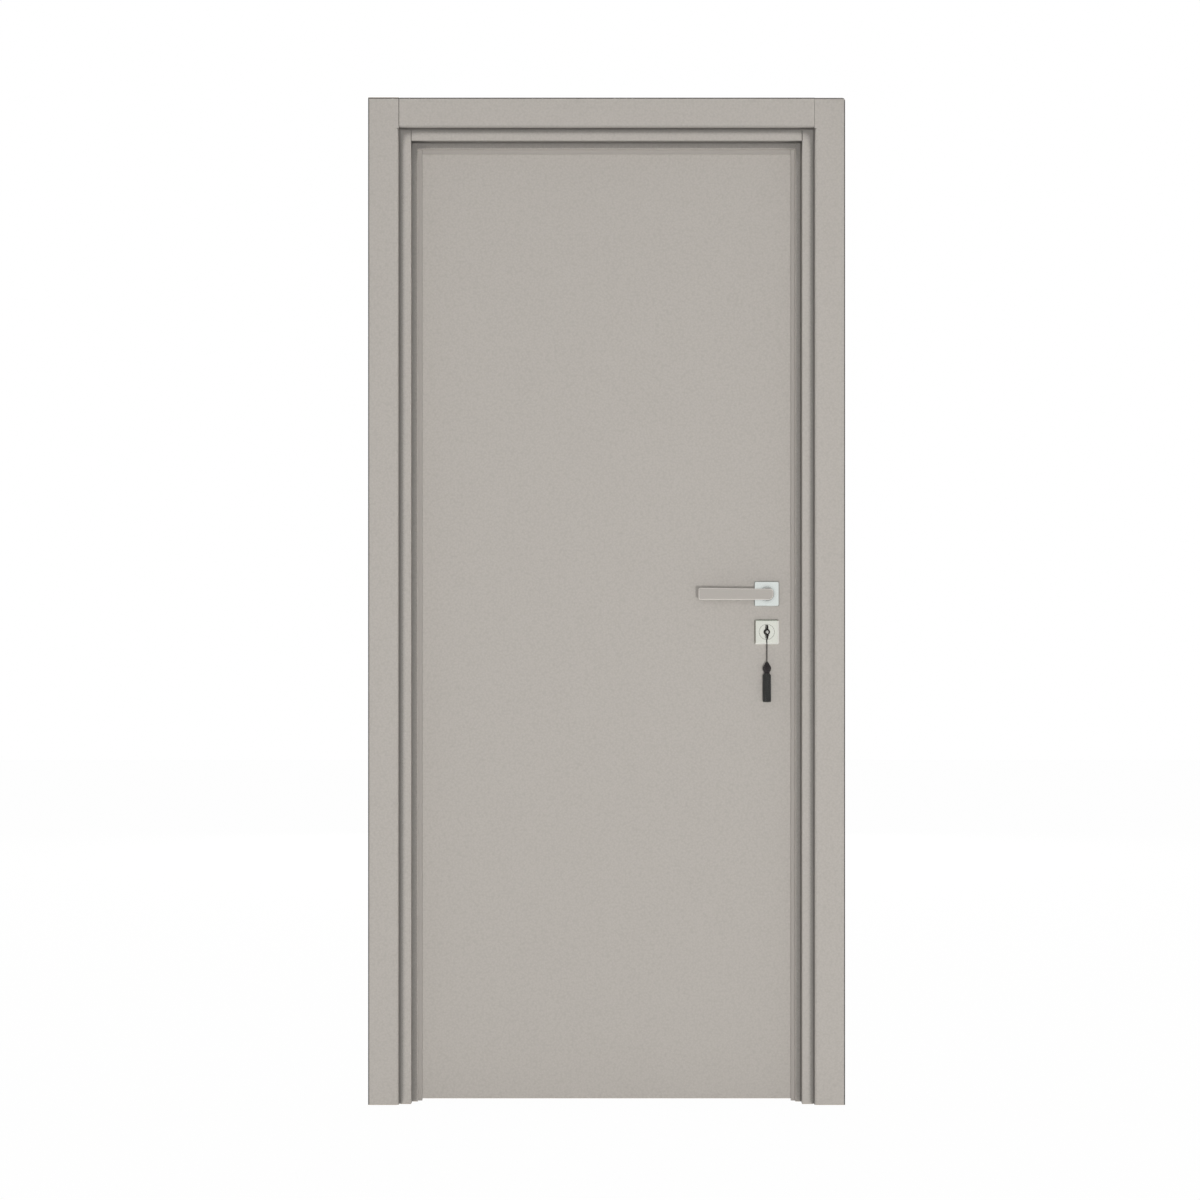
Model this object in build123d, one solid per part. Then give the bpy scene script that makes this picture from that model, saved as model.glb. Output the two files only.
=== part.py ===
"""Prehung interior door: lined frame with casings on both wall faces, stops with seals, a flush
foil-wrapped leaf on three butt hinges, a mortise lock with levers on square roses, and a key
with a tassel hanging from its neck.

Millimetres. +Z is up. -Y is the side that the leaf is pushed from, +X runs from the hinge side
to the strike side. The origin is on the wall face of the hinge-side jamb, at its foot and in
the middle of its depth.
"""
import math
import os

from build123d import *

# Leaf
leaf_nominal_width = 800.0
lipping = 1.5
leaf_height = 2000.0
leaf_thickness = 40.0
skin_thickness = 5.0
stile_width = 60.0
rail_height = 70.0
leaf_edge_radius = 1.0

# Gaps round the leaf
side_gap = 6.5
head_gap = 6.0
floor_gap = 4.0
stop_gap = 5.0

# Frame
jamb_thickness = 40.0
jamb_depth = 90.0
jamb_edge_radius = 2.0
stop_proud = 12.0
stop_depth = 12.0
stop_edge_radius = 2.0
stop_setback = 33.0
kerf_width = 2.4
kerf_depth = 5.0
kerf_inset = 5.0

# Seal strip in the kerf of the stops
seal_reach = 9.0
seal_thickness = 4.2
seal_nose_radius = 2.0
seal_clearance = 0.2

# Casings
casing_width = 64.0
casing_thickness = 12.0
casing_reveal = 25.0
casing_inner_radius = 7.0
casing_outer_radius = 3.0
casing_eased_corner = 6.0
butt_arris = 0.7
tongue_thickness = 4.0
tongue_length = 9.0
tongue_inset = 6.0
joint_clearance = 0.3
quirk_width = 3.0
quirk_depth = 4.0

# Butt hinges
hinge_length = 100.0
hinge_plate = 3.0
hinge_width = 30.0
knuckle_radius = 7.0
knuckle_count = 5
knuckle_gap = 0.4
pin_diameter = 7.0
pin_button_radius = 5.5
pin_button_height = 4.0
pin_button_bevel = 2.0
arm_overlap = 1.0
running_clearance = 0.1
hinge_corner_radius = 8.0
hinge_above_leaf_foot = 211.0
hinge_below_leaf_top = 109.0

# Mortise lock
backset = 65.0
lever_height = 1065.0
key_drop = 80.0
case_thickness = 16.0
case_wall = 2.0
case_depth = 87.0
case_above_lever = 38.0
case_below_key = 50.0
faceplate_thickness = 3.0
faceplate_width = 22.0
faceplate_overhang = 32.0
faceplate_end_flat = 1.0
mortise_clearance = 0.5
chamber_radius = 16.5
follower_diameter = 18.0
bolt_width = 11.0
latch_height = 30.0
bolt_height = 36.0
bolt_length = 40.0
latch_proud = 2.0
latch_bevel_depth = 1.8
latch_bevel_width = 7.7
dead_bolt_proud = 1.0
bolt_edge_radius = 1.0
bolt_clearance = 0.3
strike_thickness = 2.0
strike_width = 24.0
strike_lip = 5.0
strike_lip_height = 60.0
strike_pocket_depth = 14.0
pocket_margin = 3.0

# Roses
rose_size = 52.0
rose_thickness = 9.0
rose_corner_radius = 3.5
lever_rose_bevel = 1.0
key_rose_bevel = 3.0
collar_diameter = 29.0
collar_height = 2.5
collar_bevel = 0.8
ring_diameter = 32.0
ring_width = 1.2
ring_depth = 0.5
rose_bore_through_leaf = 24.0

# Levers
neck_diameter = 20.0
neck_clearance = 0.3
lever_projection = 50.0
bar_thickness = 12.0
lever_reach = 144.5
lever_heel = 11.5
bar_below_axis = 12.4
bar_above_axis_at_heel = 10.2
bar_above_axis_at_tip = 12.3
heel_top_radius = 6.0
heel_low_radius = 10.0
tip_radius = 4.0
bar_bevel = 1.2
neck_root_flare = 4.0
neck_root_land = 0.1
spindle_size = 8.0
spindle_clearance = 0.1
spindle_in_neck = 30.0

# Key
key_shaft_diameter = 6.5
key_neck_length = 12.0
key_collar_diameter = 9.0
key_collar_length = 2.0
bow_height = 30.0
bow_depth = 22.0
bow_thickness = 3.2
bow_rim = 5.0
bow_corner_radius = 9.5
bow_bevel = 0.7
bit_reach = 14.0
bit_width = 9.0
bit_thickness = 3.0
bit_notch_width = 2.3
bit_notch_depth = 4.9
keyhole_margin = 0.6

# Tassel
cord_diameter = 2.4
loop_clearance = 0.5
loop_facets = 8
knot_width = 6.0
knot_height = 8.0
knot_offset = 1.5
knot_rise = 1.8
string_length = 51.0
head_height = 23.0
head_diameter = 18.0
head_neck_diameter = 11.0
head_tip_wall = 0.8
head_shoulder_angle = 25.0
skirt_length = 61.0
skirt_diameter = 17.6
skirt_shoulder = 4.0

# Places worked out from the sizes above
leaf_width = leaf_nominal_width + 2 * lipping
opening_width = leaf_width + 2 * side_gap
opening_height = floor_gap + leaf_height + head_gap
opening_left = jamb_thickness
opening_right = opening_left + opening_width
frame_width = opening_right + jamb_thickness
frame_height = opening_height + jamb_thickness
wall_front = -jamb_depth / 2
wall_back = jamb_depth / 2
stop_front = wall_front + stop_setback
stop_back = stop_front + stop_depth
leaf_left = opening_left + side_gap
leaf_right = leaf_left + leaf_width
leaf_bottom = floor_gap
leaf_top = leaf_bottom + leaf_height
leaf_front = stop_back + stop_gap
leaf_back = leaf_front + leaf_thickness
leaf_middle = (leaf_front + leaf_back) / 2
casing_inner_left = opening_left - casing_reveal
casing_inner_right = opening_right + casing_reveal
casing_inner_head = opening_height + casing_reveal
casing_top = casing_inner_head + casing_width
pin_x = opening_left + side_gap / 2
pin_y = wall_back + knuckle_radius
lock_x = leaf_right - backset
key_height = lever_height - key_drop
case_front = leaf_middle - case_thickness / 2
case_back = leaf_middle + case_thickness / 2
case_left = leaf_right - faceplate_thickness - case_depth
case_right = leaf_right - faceplate_thickness
case_bottom = key_height - case_below_key
case_top = lever_height + case_above_lever
neck_middle_y = leaf_front - rose_thickness - key_neck_length / 2
lowest_hinge = leaf_bottom + hinge_above_leaf_foot
highest_hinge = leaf_top - hinge_below_leaf_top - hinge_length
hinge_levels = {
    "lower": lowest_hinge, "middle": (lowest_hinge + highest_hinge) / 2, "upper": highest_hinge,
}


def block(x0, x1, y0, y1, z0, z1):
    """A box between two corners."""
    return Pos((x0 + x1) / 2, (y0 + y1) / 2, (z0 + z1) / 2) * Box(x1 - x0, y1 - y0, z1 - z0)


def rod_along_y(x, z, y0, y1, diameter):
    """A cylinder that lies along Y."""
    return Pos(x, (y0 + y1) / 2, z) * Rot(90, 0, 0) * Cylinder(diameter / 2, y1 - y0)


def to_back_face(shape):
    """The twin of a piece on the leaf's other face."""
    return mirror(shape, about=Plane.XZ.offset(-leaf_middle))


def keyhole(x, z, y0, y1, margin):
    """The outline that the key enters by: a round hole with a slot for the bit below it."""
    round_hole = rod_along_y(x, z, y0, y1, key_shaft_diameter + 2 * margin)
    half_slot = bit_thickness / 2 + margin
    return round_hole + block(x - half_slot, x + half_slot, y0, y1, z - bit_reach - margin, z)


def casing_profile():
    """Casing section: u runs from the inner edge outwards, v from the wall face forwards."""
    board = Pos(casing_width / 2, casing_thickness / 2) * Rectangle(casing_width, casing_thickness)
    front = board.vertices().group_by(Axis.Y)[-1].sort_by(Axis.X)
    board = fillet(front[0], casing_inner_radius)
    outer = board.vertices().group_by(Axis.Y)[-1].sort_by(Axis.X)[-1]
    return fillet(outer, casing_outer_radius)


def tongue_profile():
    """The tongue on the casing's wall face, which slides into the groove of the jamb."""
    return Pos(tongue_inset + tongue_thickness / 2, -tongue_length / 2) * Rectangle(
        tongue_thickness, tongue_length
    )


def casing_plane(side):
    """Where a front casing's section stands: its inner edge, outward and forward directions."""
    if side == "hinge_side":
        return Plane((casing_inner_left, wall_front, 0), x_dir=(-1, 0, 0), z_dir=(0, 0, 1))
    if side == "strike_side":
        return Plane((casing_inner_right, wall_front, casing_top), x_dir=(1, 0, 0), z_dir=(0, 0, -1))
    return Plane((casing_inner_left, wall_front, casing_inner_head), x_dir=(0, 0, 1), z_dir=(1, 0, 0))


def front_casing(side):
    """One casing on the push face: side casings run past the head casing, which butts between."""
    plane = casing_plane(side)
    if side == "head":
        board_length = casing_inner_right - casing_inner_left
        tongue_start, tongue_end = casing_reveal, board_length - casing_reveal
    else:
        board_length = casing_top
        tongue_start, tongue_end = 0.0, frame_height
    if side == "strike_side":
        tongue_start, tongue_end = casing_top - frame_height, casing_top
    board = extrude(plane * casing_profile(), board_length)
    tongue_plane = Plane(plane.origin + plane.z_dir * tongue_start, x_dir=plane.x_dir, z_dir=plane.z_dir)
    casing = board + extrude(tongue_plane * tongue_profile(), tongue_end - tongue_start)
    if side == "head":
        ends = casing.faces().filter_by(Axis.X)
        arrises = [face.edges().filter_by(Axis.Z).sort_by(Axis.Y)[0] for face in (ends[0], ends[-1])]
        return chamfer(arrises, butt_arris)
    casing += square_shoulder(side)
    if side == "strike_side":
        corner = casing.edges().filter_by(Axis.Y).group_by(Axis.Z)[-1].sort_by(Axis.X)[-1]
        casing = fillet(corner, casing_eased_corner)
    return casing


def square_shoulder(side):
    """The inner edge's rounding stops at the head, where the head casing butts against a square edge."""
    inward = 1 if side == "hinge_side" else -1
    edge = casing_inner_left if side == "hinge_side" else casing_inner_right
    x0, x1 = sorted((edge, edge - inward * casing_inner_radius))
    y_front = wall_front - casing_thickness
    shoulder = block(x0, x1, y_front, y_front + casing_inner_radius, casing_inner_head, casing_top)
    corner = shoulder.edges().filter_by(Axis.Z).group_by(Axis.Y)[0].sort_by(Axis.X)
    return chamfer(corner[-1] if inward > 0 else corner[0], butt_arris)


def tongue_grooves(side):
    """Grooves in both edges of a jamb board for the casing tongues."""
    low = tongue_inset - joint_clearance
    high = tongue_inset + tongue_thickness + joint_clearance
    depth = tongue_length + joint_clearance
    grooves = []
    for edge, inward in ((wall_front, 1), (wall_back, -1)):
        y0, y1 = sorted((edge, edge + inward * depth))
        if side == "hinge_side":
            x0, x1 = casing_inner_left - high, casing_inner_left - low
            grooves.append(block(x0, x1, y0, y1, 0, frame_height))
        elif side == "strike_side":
            x0, x1 = casing_inner_right + low, casing_inner_right + high
            grooves.append(block(x0, x1, y0, y1, 0, frame_height))
        else:
            z0, z1 = casing_inner_head + low, casing_inner_head + high
            grooves.append(block(opening_left, opening_right, y0, y1, z0, z1))
    return grooves


def quirks(side):
    """Narrow sinkings in both edges of a jamb board along the casings' inner edge."""
    cuts = []
    low_z, high_z = casing_inner_head - quirk_width, casing_inner_head
    for edge, inward in ((wall_front, 1), (wall_back, -1)):
        y0, y1 = sorted((edge, edge + inward * quirk_depth))
        if side == "head":
            cuts.append(block(opening_left, opening_right, y0, y1, low_z, high_z))
            continue
        if side == "hinge_side":
            inner, reach, lining = casing_inner_left, casing_inner_left + quirk_width, opening_left
        else:
            inner, reach, lining = casing_inner_right, casing_inner_right - quirk_width, opening_right
        x0, x1 = sorted((inner, reach))
        cuts.append(block(x0, x1, y0, y1, 0, high_z))
        x0, x1 = sorted((inner, lining))
        cuts.append(block(x0, x1, y0, y1, low_z, high_z))
    return cuts


def jamb(side):
    """One board of the frame lining, with eased arrises towards the doorway."""
    if side == "hinge_side":
        board = block(0, opening_left, wall_front, wall_back, 0, frame_height)
        arrises = board.edges().filter_by(Axis.Z).group_by(Axis.X)[-1]
    elif side == "strike_side":
        board = block(opening_right, frame_width, wall_front, wall_back, 0, frame_height)
        arrises = board.edges().filter_by(Axis.Z).group_by(Axis.X)[0]
    else:
        board = block(opening_left, opening_right, wall_front, wall_back, opening_height, frame_height)
        arrises = board.edges().filter_by(Axis.X).group_by(Axis.Z)[0]
    board = fillet(arrises, jamb_edge_radius)
    if side == "head":
        ends = [board.faces().sort_by(Axis.X)[0], board.faces().sort_by(Axis.X)[-1]]
        arrises = []
        for face in ends:
            upright = face.edges().filter_by(Axis.Z).sort_by(Axis.Y)
            arrises += [upright[0], upright[-1]]
        board = chamfer(arrises, butt_arris)
    for groove in tongue_grooves(side) + quirks(side):
        board -= groove
    return board


def stop_plane(side):
    """Where a stop's section stands: u runs from the jamb into the doorway, v to the push side."""
    if side == "hinge_side":
        return Plane((opening_left, stop_back, opening_height), x_dir=(1, 0, 0), z_dir=(0, 0, -1))
    if side == "strike_side":
        return Plane((opening_right, stop_back, 0), x_dir=(-1, 0, 0), z_dir=(0, 0, 1))
    corner = (opening_right - stop_proud, stop_back, opening_height)
    return Plane(corner, x_dir=(0, 0, -1), z_dir=(-1, 0, 0))


def stop_length(side):
    """Side stops run to the head; the head stop fits between them."""
    return opening_width - 2 * stop_proud if side == "head" else opening_height


def door_stop(side):
    """A planted stop with a kerf for the seal in its leaf-side face."""
    section = Pos(stop_proud / 2, stop_depth / 2) * Rectangle(stop_proud, stop_depth)
    nose = section.vertices().sort_by(Axis.X)[-2:].sort_by(Axis.Y)[-1]
    section = fillet(nose, stop_edge_radius)
    section -= Pos(kerf_inset + kerf_width / 2, kerf_depth / 2) * Rectangle(kerf_width, kerf_depth)
    return extrude(stop_plane(side) * section, stop_length(side))


def seal(side):
    """A soft strip behind the stop, with a barb in the kerf and a nose past the stop's edge."""
    width = stop_proud + seal_reach - seal_clearance
    middle = -seal_clearance - seal_thickness / 2
    strip = Pos(seal_clearance + width / 2, middle) * Rectangle(width, seal_thickness)
    strip = fillet(strip.vertices().sort_by(Axis.X)[-2:], seal_nose_radius)
    barb_low, barb_high = -2 * seal_clearance, kerf_depth - seal_clearance
    barb_place = Pos(kerf_inset + kerf_width / 2, (barb_low + barb_high) / 2)
    section = strip + barb_place * Rectangle(kerf_width - 2 * seal_clearance, barb_high - barb_low)
    plane = stop_plane(side)
    length = stop_length(side)
    if side == "head":
        inset = seal_reach + seal_clearance
        plane = Plane(plane.origin + plane.z_dir * inset, x_dir=plane.x_dir, z_dir=plane.z_dir)
        length -= 2 * inset
    return extrude(plane * section, length)


def knuckle_spans(for_leaf):
    """Height ranges of the knuckles of one plate, from the foot of the hinge."""
    pitch = hinge_length / knuckle_count
    spans = []
    for index in range(knuckle_count):
        if (index % 2 == 1) == for_leaf:
            spans.append((index * pitch + knuckle_gap / 2, (index + 1) * pitch - knuckle_gap / 2))
    return spans


def hinge_plate_solid(foot, for_leaf):
    """One plate with its knuckles; the jamb plate also carries the pin and its buttons."""
    x0 = leaf_left if for_leaf else opening_left - hinge_plate
    x1 = x0 + hinge_plate
    plate = block(x0, x1, wall_back - hinge_width, wall_back, foot, foot + hinge_length)
    corners = plate.edges().filter_by(Axis.X).group_by(Axis.Y)[0]
    plate = fillet(corners, hinge_corner_radius)
    for low, high in knuckle_spans(for_leaf):
        knuckle = Pos(pin_x, pin_y, foot + (low + high) / 2) * Cylinder(knuckle_radius, high - low)
        arm = block(x0, x1, wall_back - arm_overlap, pin_y, foot + low, foot + high)
        plate += knuckle + arm
    bore = pin_diameter + 2 * running_clearance if for_leaf else pin_diameter
    pin = Pos(pin_x, pin_y, foot + hinge_length / 2) * Cylinder(bore / 2, hinge_length)
    if for_leaf:
        return plate - pin
    plate += pin
    for level in (foot + knuckle_gap / 2, foot + hinge_length - knuckle_gap / 2):
        outward = -1 if level < foot + hinge_length / 2 else 1
        button = Cylinder(pin_button_radius, pin_button_height)
        rim = button.edges().group_by(Axis.Z)[-1 if outward > 0 else 0]
        button = chamfer(rim, pin_button_bevel)
        plate += Pos(pin_x, pin_y, level + outward * pin_button_height / 2) * button
    return plate


def hinge_mortise(foot, for_leaf):
    """The housing that a plate is let into, with room for its corners."""
    x0 = leaf_left if for_leaf else opening_left - hinge_plate
    housing = block(x0, x0 + hinge_plate, wall_back - hinge_width, wall_back, foot, foot + hinge_length)
    corners = housing.edges().filter_by(Axis.X).group_by(Axis.Y)[0]
    return fillet(corners, hinge_corner_radius)


def lock_openings():
    """Everything that is cut out of the leaf for the lock: case, faceplate, spindle and key."""
    case = block(
        case_left - mortise_clearance, case_right,
        case_front - mortise_clearance, case_back + mortise_clearance,
        case_bottom - mortise_clearance, case_top + mortise_clearance,
    )
    spindle_bore = rod_along_y(lock_x, lever_height, leaf_front, leaf_back, rose_bore_through_leaf)
    key_slot = keyhole(lock_x, key_height, leaf_front, leaf_back, 3 * keyhole_margin)
    return [case, faceplate_blank(), spindle_bore, key_slot]


def faceplate_blank():
    """The outline of the faceplate, which is let in flush with the leaf's edge."""
    blank = block(
        leaf_right - faceplate_thickness, leaf_right,
        leaf_middle - faceplate_width / 2, leaf_middle + faceplate_width / 2,
        case_bottom - faceplate_overhang, case_top + faceplate_overhang,
    )
    return fillet(blank.edges().filter_by(Axis.X), (faceplate_width - faceplate_end_flat) / 2)


def bolt_block(level, height, x0, x1, margin):
    """A rectangular bolt, or with a margin the hole that it runs in."""
    half_width = bolt_width / 2 + margin
    half_height = height / 2 + margin
    return block(
        x0, x1, leaf_middle - half_width, leaf_middle + half_width, level - half_height, level + half_height
    )


def latch_bolt():
    """The spring latch, drawn back, with its nose bevelled towards the closing side."""
    bolt = bolt_block(lever_height, latch_height, case_right - bolt_length, leaf_right + latch_proud, 0)
    nose = bolt.edges().filter_by(Axis.Z).group_by(Axis.X)[-1].sort_by(Axis.Y)[0]
    return chamfer(nose, latch_bevel_depth, latch_bevel_width)


def dead_bolt():
    """The bolt that the key throws, drawn back."""
    bolt = bolt_block(key_height, bolt_height, case_right - bolt_length, leaf_right + dead_bolt_proud, 0)
    return fillet(bolt.edges().filter_by(Axis.X), bolt_edge_radius)


def lock_case():
    """The case, with the follower's bearing, the chamber that the bit turns in and the bolt ways."""
    case = block(case_left, case_right, case_front, case_back, case_bottom, case_top)
    case -= rod_along_y(lock_x, lever_height, case_front, case_back, follower_diameter + 2 * neck_clearance)
    chamber = rod_along_y(
        lock_x, key_height, case_front + case_wall, case_back - case_wall, 2 * chamber_radius
    )
    case -= chamber + keyhole(lock_x, key_height, case_front, case_back, keyhole_margin)
    bolt_start = case_right - bolt_length - bolt_clearance
    case -= bolt_block(lever_height, latch_height, bolt_start, case_right, bolt_clearance)
    case -= bolt_block(key_height, bolt_height, bolt_start, case_right, bolt_clearance)
    return case


def lock_faceplate():
    """The faceplate in the leaf's edge, pierced for latch and bolt."""
    plate = faceplate_blank()
    plate -= bolt_block(lever_height, latch_height, case_right, leaf_right, bolt_clearance)
    return plate - bolt_block(key_height, bolt_height, case_right, leaf_right, bolt_clearance)


def strike_blank():
    """The outline of the strike plate in the jamb, with the lip that leads the latch in."""
    plate = block(
        opening_right, opening_right + strike_thickness,
        leaf_middle - strike_width / 2, leaf_middle + strike_width / 2,
        case_bottom - faceplate_overhang, case_top + faceplate_overhang,
    )
    plate = fillet(plate.edges().filter_by(Axis.X), casing_outer_radius)
    half_lip = strike_lip_height / 2
    return plate + block(
        opening_right, opening_right + strike_thickness,
        leaf_middle, wall_back + strike_lip - jamb_edge_radius,
        lever_height - half_lip, lever_height + half_lip,
    )


def strike_pockets(x0, x1):
    """The pockets that latch and bolt would enter when thrown."""
    return [
        bolt_block(lever_height, latch_height, x0, x1, pocket_margin),
        bolt_block(key_height, bolt_height, x0, x1, pocket_margin),
    ]


def strike_plate():
    """The strike plate, pierced for latch and bolt."""
    plate = strike_blank()
    for pocket in strike_pockets(opening_right, opening_right + strike_thickness):
        plate -= pocket
    return plate


def rose(level, with_collar):
    """A square cover plate with a bevelled front; the lever's has a round collar, the key's a ring."""
    y_front = leaf_front - rose_thickness
    half = rose_size / 2
    plate = block(lock_x - half, lock_x + half, y_front, leaf_front, level - half, level + half)
    plate = fillet(plate.edges().filter_by(Axis.Y), rose_corner_radius)
    bevel = lever_rose_bevel if with_collar else key_rose_bevel
    plate = chamfer(plate.faces().sort_by(Axis.Y)[0].edges(), bevel)
    if not with_collar:
        outer = rod_along_y(lock_x, level, y_front, y_front + ring_depth, ring_diameter + ring_width)
        inner = rod_along_y(lock_x, level, y_front, y_front + ring_depth, ring_diameter - ring_width)
        return plate - (outer - inner) - keyhole(lock_x, level, y_front, leaf_front, keyhole_margin)
    collar = rod_along_y(lock_x, level, y_front - collar_height, y_front, collar_diameter)
    collar = chamfer(collar.edges().group_by(Axis.Y)[0], collar_bevel)
    bore = rod_along_y(
        lock_x, level, y_front - collar_height, leaf_front, neck_diameter + 2 * neck_clearance
    )
    return plate + collar - bore


def lever():
    """The push-side lever: a flat bar that deepens slightly to its tip, on a round neck."""
    y_front = leaf_front - lever_projection
    y_back = y_front + bar_thickness
    tip = lock_x - lever_reach
    heel = lock_x + lever_heel
    low = lever_height - bar_below_axis
    outline = Polyline(
        (heel, low), (heel, lever_height + bar_above_axis_at_heel),
        (tip, lever_height + bar_above_axis_at_tip), (tip, low), close=True,
    )
    section = make_face(outline)
    corners = section.vertices().sort_by(Axis.X)
    section = fillet(corners[:2], tip_radius)
    section = fillet(section.vertices().group_by(Axis.X)[-1].sort_by(Axis.Y)[-1], heel_top_radius)
    section = fillet(section.vertices().group_by(Axis.X)[-1].sort_by(Axis.Y)[0], heel_low_radius)
    # The section is drawn on X and Z: Plane.XZ looks along -Y, so it is pushed the other way.
    bar = extrude(Plane.XZ.offset(-y_back) * section, bar_thickness)
    bar = chamfer(bar.faces().sort_by(Axis.Y)[0].edges(), bar_bevel)
    neck = rod_along_y(lock_x, lever_height, y_back, leaf_front - spindle_clearance, neck_diameter)
    root_end = y_back + neck_root_flare
    root = rod_along_y(lock_x, lever_height, y_back, root_end, neck_diameter + neck_root_flare)
    root = chamfer(root.edges().group_by(Axis.Y)[-1], neck_root_flare / 2 - neck_root_land)
    socket_size = spindle_size + 2 * spindle_clearance
    socket_start = leaf_front - spindle_in_neck - spindle_clearance
    half = socket_size / 2
    socket = block(
        lock_x - half, lock_x + half, socket_start, leaf_front, lever_height - half, lever_height + half
    )
    return bar + neck + root - socket


def lever_spindle():
    """The square spindle through the lock, with the follower that it turns."""
    half = spindle_size / 2
    bar = block(
        lock_x - half, lock_x + half,
        leaf_front - spindle_in_neck, leaf_back + spindle_in_neck,
        lever_height - half, lever_height + half,
    )
    return bar + rod_along_y(lock_x, lever_height, case_front, case_back, follower_diameter)


def key():
    """The key in the lock: an open oval bow seen edge-on, a neck, a round shaft and a bit."""
    rose_front = leaf_front - rose_thickness
    bow_back = rose_front - key_neck_length
    bow_middle = bow_back - bow_depth / 2
    shaft_start = bow_back - bow_rim / 2
    shaft = rod_along_y(lock_x, key_height, shaft_start, case_back - case_wall / 2, key_shaft_diameter)
    collar = rod_along_y(lock_x, key_height, bow_back, bow_back + key_collar_length, key_collar_diameter)
    outer = RectangleRounded(bow_depth, bow_height, bow_corner_radius)
    inner = RectangleRounded(bow_depth - 2 * bow_rim, bow_height - 2 * bow_rim, bow_corner_radius - bow_rim)
    bow_corner = (lock_x - bow_thickness / 2, bow_middle, key_height)
    bow_plane = Plane(bow_corner, x_dir=(0, 1, 0), z_dir=(1, 0, 0))
    bow = extrude(bow_plane * (outer - inner), bow_thickness)
    bow = chamfer(bow.faces().filter_by(Axis.X).edges(), bow_bevel)
    bit_middle = leaf_middle
    bit = block(
        lock_x - bit_thickness / 2, lock_x + bit_thickness / 2,
        bit_middle - bit_width / 2, bit_middle + bit_width / 2,
        key_height - bit_reach, key_height,
    )
    notch = block(
        lock_x - bit_thickness / 2, lock_x + bit_thickness / 2,
        bit_middle - bit_notch_width / 2, bit_middle + bit_notch_width / 2,
        key_height - bit_reach, key_height - bit_reach + bit_notch_depth,
    )
    return bow + collar + shaft + (bit - notch)


def tassel_loop():
    """The cord's loop round the key's neck, with the knot that closes it."""
    loop_radius = key_shaft_diameter / 2 + loop_clearance + cord_diameter / 2
    cord = RegularPolygon(cord_diameter / 2, loop_facets, major_radius=False, rotation=180 / loop_facets)
    ring = revolve(Plane.XZ * Pos(loop_radius, 0) * cord, Axis.Z)
    loop = Pos(lock_x, neck_middle_y, key_height) * Rot(90, 0, 0) * ring
    knot = Pos(lock_x + knot_offset, neck_middle_y, knot_middle()) * knot_solid()
    return loop + knot


def knot_solid():
    """A barrel-shaped knot, taller than it is wide."""
    half = knot_width / 2
    end = knot_height / 2
    outline = Polyline(
        (0, end), (half / 2, end), (half, end / 2),
        (half, -end / 2), (half / 2, -end), (0, -end), close=True,
    )
    return revolve(Plane.XZ * make_face(outline), Axis.Z)


def knot_middle():
    """The knot hangs against the underside of the loop."""
    loop_bottom = key_height - key_shaft_diameter / 2 - loop_clearance - cord_diameter
    return loop_bottom - knot_height / 2 + knot_rise


def string_top():
    """Where the cord leaves the knot."""
    return knot_middle() - knot_height / 2


def tassel_cord():
    """The straight cord from the knot to the tassel's head."""
    middle = string_top() - string_length / 2
    return Pos(lock_x, neck_middle_y, middle) * Cylinder(cord_diameter / 2, string_length)


def tassel_head():
    """The wound head of the tassel: a cone that swells to a ball and closes at its neck."""
    top = string_top() - string_length
    radius = head_diameter / 2
    ball_middle = -head_height + math.sqrt(radius**2 - (head_neck_diameter / 2) ** 2)
    shoulder = math.radians(head_shoulder_angle)
    shoulder_point = (radius * math.cos(shoulder), ball_middle + radius * math.sin(shoulder))
    tip = (cord_diameter / 2 + head_tip_wall, 0)
    foot = (head_neck_diameter / 2, -head_height)
    ball = ThreePointArc(shoulder_point, (radius, ball_middle), foot)
    outline = Line((0, 0), tip) + Line(tip, shoulder_point) + ball
    outline += Line(foot, (0, -head_height)) + Line((0, -head_height), (0, 0))
    return Pos(lock_x, neck_middle_y, top) * revolve(Plane.XZ * make_face(outline), Axis.Z)


def tassel_skirt():
    """The skirt of yarns as one round solid with a soft shoulder."""
    top = string_top() - string_length - head_height
    radius = skirt_diameter / 2
    shoulder = CenterArc((radius - skirt_shoulder, -skirt_shoulder), skirt_shoulder, 0, 90)
    outline = Line((0, 0), (radius - skirt_shoulder, 0)) + shoulder
    outline += Line((radius, -skirt_shoulder), (radius, -skirt_length))
    outline += Line((radius, -skirt_length), (0, -skirt_length)) + Line((0, -skirt_length), (0, 0))
    return Pos(lock_x, neck_middle_y, top) * revolve(Plane.XZ * make_face(outline), Axis.Z)


def leaf_member(x0, x1, y0, y1, z0, z1):
    """A piece of the leaf with the lock and hinge housings cut out of it."""
    member = block(x0, x1, y0, y1, z0, z1)
    for cutter in leaf_cutters:
        member -= cutter
    return member


def lipped_stile(side):
    """An edge stile with the lipping that covers the edges of both skins."""
    inner_front, inner_back = leaf_front + skin_thickness, leaf_back - skin_thickness
    if side == "hinge_side":
        x0, x1 = leaf_left, leaf_left + lipping
        body = block(x1, leaf_left + stile_width, inner_front, inner_back, leaf_bottom, leaf_top)
        edge = block(x0, x1, leaf_front, leaf_back, leaf_bottom, leaf_top)
        arrises = edge.edges().filter_by(Axis.Z).group_by(Axis.X)[0]
    else:
        x0, x1 = leaf_right - lipping, leaf_right
        body = block(leaf_right - stile_width, x0, inner_front, inner_back, leaf_bottom, leaf_top)
        edge = block(x0, x1, leaf_front, leaf_back, leaf_bottom, leaf_top)
        arrises = edge.edges().filter_by(Axis.Z).group_by(Axis.X)[-1]
    stile = body + fillet(arrises, leaf_edge_radius)
    for cutter in leaf_cutters:
        stile -= cutter
    return stile


leaf_cutters = lock_openings() + [hinge_mortise(level, True) for level in hinge_levels.values()]
nodes = {}

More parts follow.
